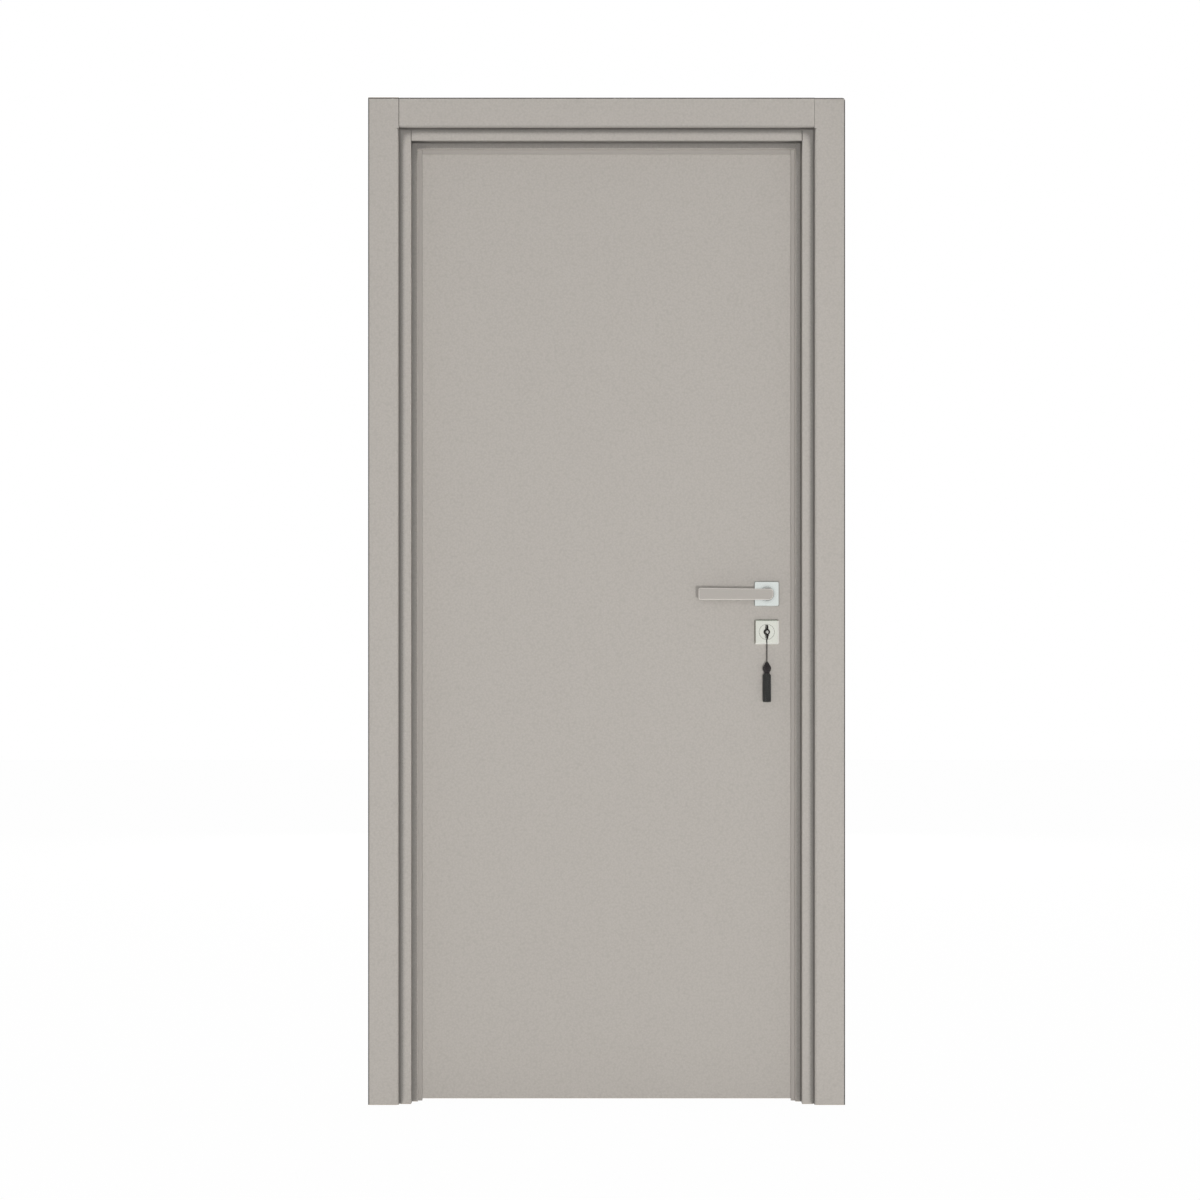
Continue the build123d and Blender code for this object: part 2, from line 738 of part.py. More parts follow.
for side in ("hinge_side", "strike_side", "head"):
    nodes["jamb_" + side] = jamb(side)
    nodes["casing_front_" + side] = front_casing(side)
    nodes["casing_back_" + side] = mirror(front_casing(side), about=Plane.XZ)
    nodes["stop_" + side] = door_stop(side)
    nodes["seal_" + side] = seal(side)

for name, level in hinge_levels.items():
    nodes["jamb_hinge_side"] -= hinge_mortise(level, False)
    nodes["hinge_" + name + "_jamb_plate"] = hinge_plate_solid(level, False)
    nodes["hinge_" + name + "_leaf_plate"] = hinge_plate_solid(level, True)

nodes["jamb_strike_side"] -= strike_blank()
for pocket in strike_pockets(opening_right, opening_right + strike_pocket_depth):
    nodes["jamb_strike_side"] -= pocket
nodes["strike_plate"] = strike_plate()

skin_left, skin_right = leaf_left + lipping, leaf_right - lipping
core_left, core_right = leaf_left + stile_width, leaf_right - stile_width
core_front, core_back = leaf_front + skin_thickness, leaf_back - skin_thickness
core_bottom, core_top = leaf_bottom + rail_height, leaf_top - rail_height
nodes["leaf_skin_front"] = leaf_member(skin_left, skin_right, leaf_front, core_front, leaf_bottom, leaf_top)
nodes["leaf_skin_back"] = leaf_member(skin_left, skin_right, core_back, leaf_back, leaf_bottom, leaf_top)
nodes["leaf_stile_hinge_side"] = lipped_stile("hinge_side")
nodes["leaf_stile_lock_side"] = lipped_stile("lock_side")
nodes["leaf_rail_bottom"] = block(core_left, core_right, core_front, core_back, leaf_bottom, core_bottom)
nodes["leaf_rail_top"] = block(core_left, core_right, core_front, core_back, core_top, leaf_top)
nodes["leaf_core"] = leaf_member(core_left, core_right, core_front, core_back, core_bottom, core_top)

nodes["lock_case"] = lock_case()
nodes["lock_faceplate"] = lock_faceplate()
nodes["latch_bolt"] = latch_bolt()
nodes["dead_bolt"] = dead_bolt()
nodes["lever_rose_front"] = rose(lever_height, True)
nodes["lever_rose_back"] = to_back_face(rose(lever_height, True))
nodes["key_rose_front"] = rose(key_height, False)
nodes["key_rose_back"] = to_back_face(rose(key_height, False))
nodes["lever_front"] = lever()
nodes["lever_back"] = to_back_face(lever())
nodes["lever_spindle"] = lever_spindle()
nodes["key"] = key()
nodes["tassel_loop"] = tassel_loop()
nodes["tassel_cord"] = tassel_cord()
nodes["tassel_head"] = tassel_head()
nodes["tassel_skirt"] = tassel_skirt()

os.makedirs("parts", exist_ok=True)
for name, shape in nodes.items():
    export_step(shape, "parts/" + name + ".step")

print("doorway", opening_width, "x", opening_height)
print("overall", casing_inner_right - casing_inner_left + 2 * casing_width, "x", casing_top)
print("lock axis x", lock_x, "pin", pin_x, pin_y, "tassel y", neck_middle_y)
print("string from", string_top(), "to", string_top() - string_length)
print("longest reach of the tassel", key_height - string_top() + string_length + head_height + skirt_length)
print("arc of the leaf's free corner", math.hypot(leaf_right - pin_x, leaf_front - pin_y) + pin_x)
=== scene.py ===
import math

import bpy
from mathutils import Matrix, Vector


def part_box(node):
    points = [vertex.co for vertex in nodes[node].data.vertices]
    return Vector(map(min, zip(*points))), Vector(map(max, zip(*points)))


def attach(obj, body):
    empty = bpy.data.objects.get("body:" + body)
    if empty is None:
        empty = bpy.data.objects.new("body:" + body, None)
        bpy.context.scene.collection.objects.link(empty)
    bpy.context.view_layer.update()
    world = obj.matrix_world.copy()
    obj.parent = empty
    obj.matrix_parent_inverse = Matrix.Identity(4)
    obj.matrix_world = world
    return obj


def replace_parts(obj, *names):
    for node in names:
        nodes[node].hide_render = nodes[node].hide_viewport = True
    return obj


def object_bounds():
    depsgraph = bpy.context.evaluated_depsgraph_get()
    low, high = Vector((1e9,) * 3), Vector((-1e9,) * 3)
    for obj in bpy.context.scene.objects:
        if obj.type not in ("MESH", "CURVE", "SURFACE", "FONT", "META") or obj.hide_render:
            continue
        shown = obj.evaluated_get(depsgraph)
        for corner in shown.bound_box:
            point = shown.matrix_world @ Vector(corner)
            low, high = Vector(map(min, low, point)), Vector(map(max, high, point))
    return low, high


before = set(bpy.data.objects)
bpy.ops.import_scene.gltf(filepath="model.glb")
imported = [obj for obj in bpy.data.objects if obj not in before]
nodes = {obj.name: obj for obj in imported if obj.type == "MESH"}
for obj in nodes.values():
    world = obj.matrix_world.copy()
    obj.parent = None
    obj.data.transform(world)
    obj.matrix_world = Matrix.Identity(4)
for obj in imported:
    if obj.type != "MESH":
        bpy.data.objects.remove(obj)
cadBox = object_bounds()

mm = 0.001
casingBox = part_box("casing_front_head")
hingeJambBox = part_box("jamb_hinge_side")
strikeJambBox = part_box("jamb_strike_side")
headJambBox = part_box("jamb_head")
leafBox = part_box("leaf_skin_front")
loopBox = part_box("tassel_loop")
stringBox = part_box("tassel_cord")
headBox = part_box("tassel_head")
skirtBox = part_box("tassel_skirt")
plumbX = (stringBox[0].x + stringBox[1].x) / 2     # the tassel hangs plumb below the key's neck
plumbY = (stringBox[0].y + stringBox[1].y) / 2


# camera: square on to the door, at half its height, with a long lens
camera = {
    "lens": 93.6,            # mm, on the usual 36 mm sensor
    "fromCasing": 6.5,       # metres in front of the casings
    "x": 0.4342,
    "height": 1.052,
}


def newObject(name, data):
    obj = bpy.data.objects.new(name, data)
    bpy.context.scene.collection.objects.link(obj)
    return obj


def buildCamera():
    data = bpy.data.cameras.new("doorCamera")
    data.lens = camera["lens"]
    obj = newObject("doorCamera", data)
    obj.location = (camera["x"], casingBox[0].y - camera["fromCasing"], camera["height"])
    obj.rotation_euler = (math.radians(90), 0, 0)
    bpy.context.scene.camera = obj


# helpers that the finishes and the node trees share

def linear(hexColour):
    channels = [int(hexColour[i:i + 2], 16) / 255 for i in (0, 2, 4)]
    return [c / 12.92 if c <= 0.04045 else ((c + 0.055) / 1.055) ** 2.4 for c in channels] + [1.0]


def addNode(tree, kind, settings=None, links=None):
    node = tree.nodes.new(kind)
    for name, value in (settings or {}).items():
        if isinstance(name, str) and hasattr(node, name):
            setattr(node, name, value)
        else:
            node.inputs[name].default_value = value
    for name, source in (links or {}).items():
        tree.links.new(source, node.inputs[name])
    return node


def splitValues(pairs):
    links = {k: v for k, v in pairs.items() if isinstance(v, bpy.types.NodeSocket)}
    return {k: v for k, v in pairs.items() if k not in links}, links


def maths(tree, operation, *values):
    settings, links = splitValues(dict(enumerate(values)))
    return addNode(tree, "ShaderNodeMath", {"operation": operation, **settings}, links).outputs[0]


def vectorMaths(tree, operation, *values):
    settings, links = splitValues(dict(enumerate(values)))
    return addNode(tree, "ShaderNodeVectorMath", {"operation": operation, **settings}, links).outputs


def blendColour(tree, factor, low, high):
    settings, links = splitValues({0: factor, 6: low, 7: high})
    return addNode(tree, "ShaderNodeMix", {"data_type": "RGBA", **settings}, links).outputs[2]


def blendValue(tree, factor, low, high):
    settings, links = splitValues({0: factor, 2: low, 3: high})
    return addNode(tree, "ShaderNodeMix", {"data_type": "FLOAT", **settings}, links).outputs[0]


def axisParts(tree, vector):
    return addNode(tree, "ShaderNodeSeparateXYZ", links={0: vector}).outputs


def newFinish(name, settings):
    material = bpy.data.materials.new(name)
    material.use_nodes = True
    tree = material.node_tree
    shader = tree.nodes["Principled BSDF"]
    for socket, value in settings.items():
        shader.inputs[socket].default_value = value
    return material, tree, shader


def giveLinks(tree, shader, links):
    for socket, source in links.items():
        tree.links.new(source, shader.inputs[socket])


def objectPoint(tree, featureSizes=(1, 1, 1)):
    # the object's own coordinates, in features of the given sizes
    place = addNode(tree, "ShaderNodeTexCoord").outputs["Object"]
    scale = [1 / size for size in featureSizes]
    return addNode(tree, "ShaderNodeMapping", {"Scale": scale}, {"Vector": place}).outputs["Vector"]


def surfaceNormal(tree):
    return addNode(tree, "ShaderNodeTexCoord").outputs["Normal"]


def noise(tree, featureSizes, detail, distortion=0.0):
    settings = {"Scale": 1.0, "Detail": detail, "Distortion": distortion}
    point = objectPoint(tree, featureSizes)
    return addNode(tree, "ShaderNodeTexNoise", settings, {"Vector": point}).outputs[0]


def cornerSky(tree, reach, rays=8):
    # share of the open sky that the surface sees within this reach
    settings = {"samples": rays, "Distance": reach}
    return addNode(tree, "ShaderNodeAmbientOcclusion", settings).outputs["AO"]


def relief(tree, height, strength, depth, sunk=False):
    # a shallow relief, depth metres deep before its strength scales it down
    settings = {"Strength": strength, "Distance": depth, "invert": sunk}
    return addNode(tree, "ShaderNodeBump", settings, {"Height": height}).outputs[0]


def giveFinish(material, names):
    for name in names:
        for materialSlot in nodes[name].material_slots:
            materialSlot.material = material


# leathered polypropylene foil, calendered, embossed and wrapped hot over board: a warm light grey
# with a low soft sheen, and a fine pebble that only just breaks the light
foil = {
    "colour": "BAB5AF",
    "valleyColour": "ADA8A2",
    "pebble": 4.0 * mm,          # real ones are about 1.3 mm: drawn three times as coarse, to show
    "relief": (0.6, 0.10 * mm),
    "cloud": 60 * mm,            # slow drift of tone from the calender
    "cloudDepth": 0.12,
    "shade": 0.46,               # painted shade: tone left in the tightest corners, where little light reaches
    "shadeReach": 42 * mm,
    "open": (0.83, 0.905, 32),   # shares of open sky between which boards go from that painted shade to none
    "deep": (0.60, 0.97, 8),     # the same for the stops, deep in the doorway, each with its ray count
    "stopEdge": 1.25,            # painted light: their side faces get this many times the foil's colour
    "underside": 0.5,            # painted shade: tone taken off faces that look down
    "arrisTone": 0.12,           # painted shade: tone left on the outer arrises and along the top, a dark outline round the door
    "arrisWidth": 2.4 * mm,      # as far down as that shows along the top
    "arrisBand": (0.54, 0.44),   # share of Y in a rounding's normal: middle of the band, half its width
    "arrisRise": 0.1,            # a rounding that looks up by more is no upright arris
    "arrisAway": 0.02,           # least turn away from the middle, so that flat faces stay out of it
    "stopFlat": 0.6,             # share of Y in the normal of the stops' broad faces
    "roughness": 0.5,
    "ior": 1.49,
}

# sawn fibreboard and pine under the foil, open at feet, tops and wall faces: dull brown, no sheen
board = {
    "fibreboard": ("C0A98B", "AB9270"),
    "pine": ("CDAE80", "B18A58"),
    "fibre": 1.1 * mm,
    "ring": (4.0 * mm / 0.06, 4.0 * mm, 4.0 * mm),     # the grain draws them out along X
    "ringRelief": (0.5, 0.2 * mm),
    "roughness": 0.86,
    "rim": 0.4 * mm,             # how far the raw face reaches round its arris
}


def rawMask(tree, rawFaces):
    point = axisParts(tree, objectPoint(tree))
    mask = None
    for axis, side, place in rawFaces:
        operation = "GREATER_THAN" if side == "above" else "LESS_THAN"
        face = maths(tree, operation, point[axis], place)
        mask = face if mask is None else maths(tree, "MAXIMUM", mask, face)
    return mask


# painted shade: the foil darkened where it sees little open sky
def cornerShade(tree, span):
    shadedSky, openSky, rays = span
    settings = {"From Min": shadedSky, "From Max": openSky, "To Min": foil["shade"]}
    sky = cornerSky(tree, foil["shadeReach"], rays)
    return addNode(tree, "ShaderNodeMapRange", settings, {"Value": sky}).outputs[0]


def edgeShade(tree):
    # painted shade: darker on undersides, on roundings that turn away from the doorway's middle, and along
    # the top
    normal = surfaceNormal(tree)
    facing = axisParts(tree, normal)
    under = maths(tree, "MAXIMUM", maths(tree, "MULTIPLY", facing["Z"], -foil["underside"]), 0.0)
    turned = maths(tree, "COMPARE", maths(tree, "ABSOLUTE", facing["Y"]), *foil["arrisBand"])
    upright = maths(tree, "LESS_THAN", facing["Z"], foil["arrisRise"])
    middle = [(low + high) / 2 for low, high in zip(*cadBox)]
    point = objectPoint(tree)
    outward = vectorMaths(tree, "MULTIPLY", vectorMaths(tree, "SUBTRACT", point, middle)[0], (1, 0, 1))[0]
    turn = vectorMaths(tree, "DOT_PRODUCT", outward, normal)["Value"]
    away = maths(tree, "GREATER_THAN", turn, foil["arrisAway"])
    beside = maths(tree, "MULTIPLY", maths(tree, "MULTIPLY", turned, away), upright)
    top = maths(tree, "GREATER_THAN", axisParts(tree, point)["Z"], casingBox[1].z - foil["arrisWidth"])
    arris = maths(tree, "MAXIMUM", beside, top)
    return maths(tree, "SUBTRACT", blendValue(tree, arris, 1.0, foil["arrisTone"]), under)


# painted shade on the stops' broad faces, painted light on their side faces
def stopShade(tree):
    facing = maths(tree, "ABSOLUTE", axisParts(tree, surfaceNormal(tree))["Y"])
    flat = maths(tree, "GREATER_THAN", facing, foil["stopFlat"])
    return blendValue(tree, flat, foil["stopEdge"], cornerShade(tree, foil["deep"]))


def foilOverBoard(name, core, rawFaces, shaded="open"):
    material, tree, shader = newFinish(name, {"IOR": foil["ior"]})
    cells = addNode(
        tree, "ShaderNodeTexVoronoi", {"feature": "SMOOTH_F1", "Scale": 1.0, "Smoothness": 0.5},
        {"Vector": objectPoint(tree, [foil["pebble"]] * 3)},
    ).outputs["Distance"]
    drift = noise(tree, [foil["cloud"]] * 3, detail=2.0)
    lift = maths(tree, "MULTIPLY_ADD", drift, foil["cloudDepth"], -foil["cloudDepth"] / 2)
    tone = maths(tree, "ADD", cells, lift)
    foilColour = blendColour(tree, tone, linear(foil["colour"]), linear(foil["valleyColour"]))
    # painted shade and, on the stops' side faces, painted light, multiplied into the foil's colour
    if shaded:
        if shaded == "deep":
            shade = stopShade(tree)
        else:
            shade = maths(tree, "MULTIPLY", cornerShade(tree, foil["open"]), edgeShade(tree))
        foilColour = addNode(
            tree, "ShaderNodeVectorMath", {"operation": "SCALE"}, {0: foilColour, "Scale": shade}
        ).outputs[0]
    fibres = noise(tree, [board["fibre"]] * 3, detail=4.0)
    light, dark = board[core]
    boardColour = blendColour(tree, fibres, linear(light), linear(dark))
    raw = rawMask(tree, rawFaces)
    giveLinks(tree, shader, {
        "Base Color": blendColour(tree, raw, foilColour, boardColour),
        "Roughness": blendValue(tree, raw, foil["roughness"], board["roughness"]),
        "Normal": relief(tree, blendValue(tree, raw, cells, fibres), *foil["relief"], sunk=True),
    })
    return material


def startingWith(*starts):
    return [name for name in nodes if name.startswith(starts)]


def finishBoards():
    rim = board["rim"]
    foot = ("Z", "below", rim)
    top = ("Z", "above", headJambBox[1].z - rim)
    hingeWall = ("X", "below", hingeJambBox[0].x + rim)
    strikeWall = ("X", "above", strikeJambBox[1].x - rim)
    for name, piece, rawFaces in (
        ("foilOnHingeJamb", "jamb_hinge_side", [hingeWall, foot, top]),
        ("foilOnStrikeJamb", "jamb_strike_side", [strikeWall, foot, top]),
        ("foilOnHeadJamb", "jamb_head", [top]),
    ):
        giveFinish(foilOverBoard(name, "fibreboard", rawFaces), [piece])
    giveFinish(foilOverBoard("foilOnStops", "fibreboard", [foot], "deep"), startingWith("stop_"))
    casingTop = ("Z", "above", casingBox[1].z - rim)
    for face, direction, place in (
        ("front", "above", hingeJambBox[0].y - rim), ("back", "below", hingeJambBox[1].y + rim)
    ):
        back = ("Y", direction, place)
        giveFinish(
            foilOverBoard("foilOnSideCasings_" + face, "fibreboard", [back, foot, casingTop]),
            ["casing_" + face + "_hinge_side", "casing_" + face + "_strike_side"],
        )
        giveFinish(
            foilOverBoard("foilOnHeadCasing_" + face, "fibreboard", [back]), ["casing_" + face + "_head"]
        )
    ends = [("Z", "below", leafBox[0].z + rim), ("Z", "above", leafBox[1].z - rim)]
    giveFinish(foilOverBoard("foilOnSkins", "fibreboard", ends, None), startingWith("leaf_skin"))
    for name, piece, inward in (
        ("foilOnHingeStile", "leaf_stile_hinge_side", ("X", "above", leafBox[0].x + rim)),
        ("foilOnLockStile", "leaf_stile_lock_side", ("X", "below", leafBox[1].x - rim)),
    ):
        giveFinish(foilOverBoard(name, "pine", ends + [inward], None), [piece])
    giveFinish(sawnPine(), ["leaf_rail_bottom", "leaf_rail_top", "leaf_core"])


def sawnPine():
    # pine, sawn: pale yellow brown with darker rings along the length, dull
    material, tree, shader = newFinish("sawnPine", {"Roughness": board["roughness"]})
    rings = noise(tree, board["ring"], detail=5.0, distortion=0.6)
    light, dark = board["pine"]
    giveLinks(tree, shader, {
        "Base Color": blendColour(tree, rings, linear(light), linear(dark)),
        "Normal": relief(tree, rings, *board["ringRelief"]),
    })
    return material


# thermoplastic rubber, extruded: matt grey, with faint lines along its length from the die
sealStrip = {
    "colour": "A9A49F",
    "lineColour": "A19C97",
    "dieLine": 1.6 * mm,
    "lineLength": 2.0,           # metres: each line runs the strip's whole length
    "lineRelief": (0.4, 0.1 * mm),
    "roughness": 0.62,
}


def extrudedSeal(name, along):
    material, tree, shader = newFinish(name, {"Roughness": sealStrip["roughness"], "IOR": 1.5})
    sizes = [sealStrip["dieLine"]] * 3
    sizes["XYZ".index(along)] = sealStrip["lineLength"]
    lines = noise(tree, sizes, detail=1.0)
    light, dark = linear(sealStrip["colour"]), linear(sealStrip["lineColour"])
    giveLinks(tree, shader, {
        "Base Color": blendColour(tree, lines, light, dark),
        "Normal": relief(tree, lines, *sealStrip["lineRelief"]),
    })
    return material


# metals: how each is plated and finished, and the size of its fine lines along X, Y and Z
metals = {
    # nickel plate over brushed steel: soft grey gleam drawn out along the height
    "brushedNickel": {
        "colour": "BDB9B2",
        "metallic": 1.0,
        "roughness": (0.26, 0.42),
        "line": (0.5 * mm, 0.5 * mm, 30 * mm),
        "relief": (0.4, 0.02 * mm),
    },
    # chromium plate over die-cast zinc, polished: near mirror, with the faintest haze from wiping
    "polishedChrome": {
        "colour": "D6DBD8",
        "metallic": 1.0,
        "roughness": (0.08, 0.16),
        "line": (9 * mm, 9 * mm, 9 * mm),
        "paintedShade": 12 * mm,        # painted shade: a dark line round the collar, where little light reaches
    },
    # bright nickel plate over die-cast zinc, polished: the chrome's mirror, a touch warmer
    "brightNickel": {
        "colour": "D7D8CF",
        "metallic": 1.0,
        "roughness": (0.08, 0.16),
        "line": (9 * mm, 9 * mm, 9 * mm),
        "paintedShade": 1.8 * mm,       # painted shade, only in the turned ring and at the foot of the bevels
        "litBevels": "F2F2EC",     # painted highlight: its right and lower bevels, made light and not metal, catch the lamp
    },
    # die-cast zinc, stoved with a satin lacquer to go with the foil: a soft painted highlight along each
    # edge
    "satinLacquer": {
        "colour": "ACA7A1",
        "metallic": 0.0,
        "roughness": (0.28, 0.36),
        "line": (1.4 * mm, 1.4 * mm, 1.4 * mm),
        "relief": (0.4, 0.01 * mm),
        "arris": "EDE8E2",       # painted highlight: the bevels get this lighter colour
    },
    # black nickel plate over turned and milled steel: dark, with a narrow highlight painted round its axis
    "keyNickel": {
        "colour": "2E2C2B",
        "metallic": 1.0,
        "roughness": (0.20, 0.34),
        "line": (2 * mm, 2 * mm, 2 * mm),
        "relief": (0.4, 0.01 * mm),
        "axisHighlight": (3.2 * mm, "D2D1CD"),      # painted highlight: bright round its axis
    },
}
# painted light and shade on the metals: the shade's colour, and which bevels are lit
paintedLight = {
    "paintedShade": "202020",
    "bevel": (0.7, 0.2),         # share of Y in a bevel's normal: middle of the band, half its width
    "litTurn": 0.3,              # least turn to the right or down of a bevel that gets the painted highlight
}


def bevelMask(tree):
    facing = maths(tree, "ABSOLUTE", axisParts(tree, surfaceNormal(tree))["Y"])
    return maths(tree, "COMPARE", facing, *paintedLight["bevel"])


# painted highlight: bevels that turn to the right or down
def litBevelMask(tree):
    turned = vectorMaths(tree, "DOT_PRODUCT", surfaceNormal(tree), (1, 0, -1))["Value"]
    return maths(tree, "GREATER_THAN", turned, paintedLight["litTurn"])


def keyAxisMask(tree, reach):
    # within this reach of the line on which the key turns
    axis = [(low + high) / 2 for low, high in zip(*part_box("key_rose_front"))]
    away = vectorMaths(tree, "SUBTRACT", objectPoint(tree), axis)[0]
    radius = vectorMaths(tree, "LENGTH", vectorMaths(tree, "MULTIPLY", away, (1, 0, 1))[0])["Value"]
    return maths(tree, "LESS_THAN", radius, reach)


def metalFinish(name):
    metal = metals[name]
    colour = linear(metal["colour"])
    material, tree, shader = newFinish(name, {"Base Color": colour, "Metallic": metal["metallic"]})
    lines = noise(tree, metal["line"], detail=3.0)
    links = {"Roughness": blendValue(tree, lines, *metal["roughness"])}
    # painted shade where the metal sees little open sky
    if "paintedShade" in metal:
        colour = blendColour(tree, cornerSky(tree, metal["paintedShade"]), linear(paintedLight["paintedShade"]), colour)
    # painted highlight on the bevels
    if "arris" in metal:
        colour = blendColour(tree, bevelMask(tree), colour, linear(metal["arris"]))
    # painted highlight on the right and lower bevels
    if "litBevels" in metal:
        litBevel = litBevelMask(tree)
        colour = blendColour(tree, litBevel, colour, linear(metal["litBevels"]))
        links["Metallic"] = maths(tree, "SUBTRACT", 1.0, litBevel)
    # painted highlight round the key's axis
    if "axisHighlight" in metal:
        reach, bright = metal["axisHighlight"]
        colour = blendColour(tree, keyAxisMask(tree, reach), colour, linear(bright))
    if isinstance(colour, bpy.types.NodeSocket):
        links["Base Color"] = colour
    if "relief" in metal:
        links["Normal"] = relief(tree, lines, *metal["relief"])
    giveLinks(tree, shader, links)
    return material


# twisted rayon, dyed black: dull, a little lighter on each ply's crown
rayon = {
    "cord": ("2B2723", "151210"),
    "head": ("2C2527", "151113"),
    "yarn": ("363635", "1E1E1D"),
    "roughness": 0.75,
    "sheen": 0.25,
    "fibre": (0.35 * mm, 0.35 * mm, 4.0 * mm),
    "fibreRelief": (0.6, 0.1 * mm),
}


def rayonFinish(part):
    light, dark = rayon[part]
    material, tree, shader = newFinish(
        "blackRayon_" + part, {"Roughness": rayon["roughness"], "Sheen Weight": rayon["sheen"]}
    )
    fibres = noise(tree, rayon["fibre"], detail=3.0)
    giveLinks(tree, shader, {
        "Base Color": blendColour(tree, fibres, linear(dark), linear(light)),
        "Normal": relief(tree, fibres, *rayon["fibreRelief"]),
    })
    return material


def finishMetals():
    nickel = metalFinish("brushedNickel")
    giveFinish(nickel, startingWith("hinge_", "lock_"))
    giveFinish(nickel, ["strike_plate", "latch_bolt", "dead_bolt", "lever_spindle"])
    giveFinish(metalFinish("polishedChrome"), startingWith("lever_rose"))
    giveFinish(metalFinish("brightNickel"), startingWith("key_rose"))
    giveFinish(metalFinish("satinLacquer"), ["lever_front", "lever_back"])
    giveFinish(metalFinish("keyNickel"), ["key"])
    giveFinish(extrudedSeal("sealUpright", "Z"), ["seal_hinge_side", "seal_strike_side"])
    giveFinish(extrudedSeal("sealLevel", "X"), ["seal_head"])
    return nickel


# geometry nodes: a tree starts with named inputs, ends with real geometry in one finish, and is
# then grown on an object and kept as a plain mesh

def newTree(name, inputs):
    tree = bpy.data.node_groups.new(name, "GeometryNodeTree")
    tree.interface.new_socket("Geometry", in_out="INPUT", socket_type="NodeSocketGeometry")
    for label, kind in inputs.items():
        tree.interface.new_socket(label, in_out="INPUT", socket_type="NodeSocket" + kind)
    tree.interface.new_socket("Geometry", in_out="OUTPUT", socket_type="NodeSocketGeometry")
    return tree, addNode(tree, "NodeGroupInput").outputs


def endTree(tree, geometry, material):
    made = addNode(tree, "GeometryNodeRealizeInstances", links={0: geometry})
    painted = addNode(tree, "GeometryNodeSetMaterial", links={
        "Geometry": made.outputs[0], "Material": material,
    })
    addNode(tree, "NodeGroupOutput", links={0: painted.outputs[0]})


def grow(name, tree, values, hostMesh=None):
    obj = newObject(name, hostMesh or bpy.data.meshes.new(name))
    modifier = obj.modifiers.new("grow", "NODES")
    modifier.node_group = tree
    for socket in tree.interface.items_tree:
        if socket.in_out == "INPUT" and socket.name in values:
            modifier[socket.identifier] = values[socket.name]
    graph = bpy.context.evaluated_depsgraph_get()
    mesh = bpy.data.meshes.new_from_object(obj.evaluated_get(graph), depsgraph=graph)
    obj.modifiers.remove(modifier)
    obj.data = mesh
    mesh.name = name
    return obj


# raised countersunk wood screws with a cross recess, 4 mm in the shank
screw = {
    "headRadius": 3.8 * mm,
    "crownRadius": 2.9 * mm,
    "proud": 0.45 * mm,          # how far the crown stands off the plate
    "recessLength": 4.6 * mm,
    "recessWidth": 0.9 * mm,
    "recessDepth": 0.4 * mm,
    "sides": 24,
    "seed": 7,
    "hingeRows": ((14, 9), (38, 20), (62, 20), (86, 9)),   # mm above the plate's foot, and in from its end
    "stripEnds": 12,             # mm from the ends of faceplate and strike plate
}


def screwTree():
    tree, given = newTree("countersunkScrews", {
        "Head radius": "Float", "Crown radius": "Float", "Proud": "Float", "Recess": "Vector",
        "Seed": "Int", "Steel": "Material",
    })
    crown = addNode(tree, "GeometryNodeMeshCone", {"Vertices": screw["sides"]}, {
        "Radius Top": given["Crown radius"], "Radius Bottom": given["Head radius"], "Depth": given["Proud"],
    })
    cross = addNode(tree, "GeometryNodeMeshBoolean", {"operation": "UNION"})
    for turn in (0, 90):
        bar = addNode(tree, "GeometryNodeMeshCube", links={"Size": given["Recess"]})
        lift = addNode(tree, "ShaderNodeCombineXYZ", links={"Z": given["Proud"]})
        cut = addNode(
            tree, "GeometryNodeTransform", {"Rotation": (0, 0, math.radians(turn))},
            {"Geometry": bar.outputs[0], "Translation": lift.outputs[0]},
        )
        tree.links.new(cut.outputs[0], cross.inputs["Mesh 2"])
    head = addNode(tree, "GeometryNodeMeshBoolean", {"operation": "DIFFERENCE"}, {
        "Mesh 1": crown.outputs[0], "Mesh 2": cross.outputs[0],
    })
    points = addNode(tree, "GeometryNodeMeshToPoints", links={"Mesh": given["Geometry"]})
    facing = addNode(tree, "GeometryNodeInputNamedAttribute", {"data_type": "FLOAT", "Name": "facing"})
    tip = maths(tree, "MULTIPLY", facing.outputs[0], math.radians(90))
    tilt = addNode(tree, "ShaderNodeCombineXYZ", links={"Y": tip})
    placed = addNode(tree, "GeometryNodeInstanceOnPoints", links={
        "Points": points.outputs[0], "Instance": head.outputs[0], "Rotation": tilt.outputs[0],
    })
    chance = addNode(tree, "FunctionNodeRandomValue", {"data_type": "FLOAT", "Max": math.pi}, {
        "Seed": given["Seed"],
    })
    spin = addNode(tree, "ShaderNodeCombineXYZ", links={"Z": chance.outputs[1]})
    turned = addNode(tree, "GeometryNodeRotateInstances", {"Local Space": True}, {
        "Instances": placed.outputs[0], "Rotation": spin.outputs[0],
    })
    endTree(tree, turned.outputs[0], given["Steel"])
    return tree


def screwPlaces():
    frameSide, leafSide = [], []
    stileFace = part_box("leaf_stile_hinge_side")[0].x
    for level in ("lower", "middle", "upper"):
        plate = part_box("hinge_" + level + "_leaf_plate")[0]
        for up, across in screw["hingeRows"]:
            y, z = plate.y + across * mm, plate.z + up * mm
            frameSide.append((hingeJambBox[1].x, y, z, 1.0))
            leafSide.append((stileFace, y, z, -1.0))
    low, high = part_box("lock_faceplate")
    middle = (low.y + high.y) / 2
    for z in (low.z + screw["stripEnds"] * mm, high.z - screw["stripEnds"] * mm):
        leafSide.append((high.x, middle, z, 1.0))
        frameSide.append((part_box("strike_plate")[0].x, middle, z, -1.0))
    return {"frame": frameSide, "leaf": leafSide}


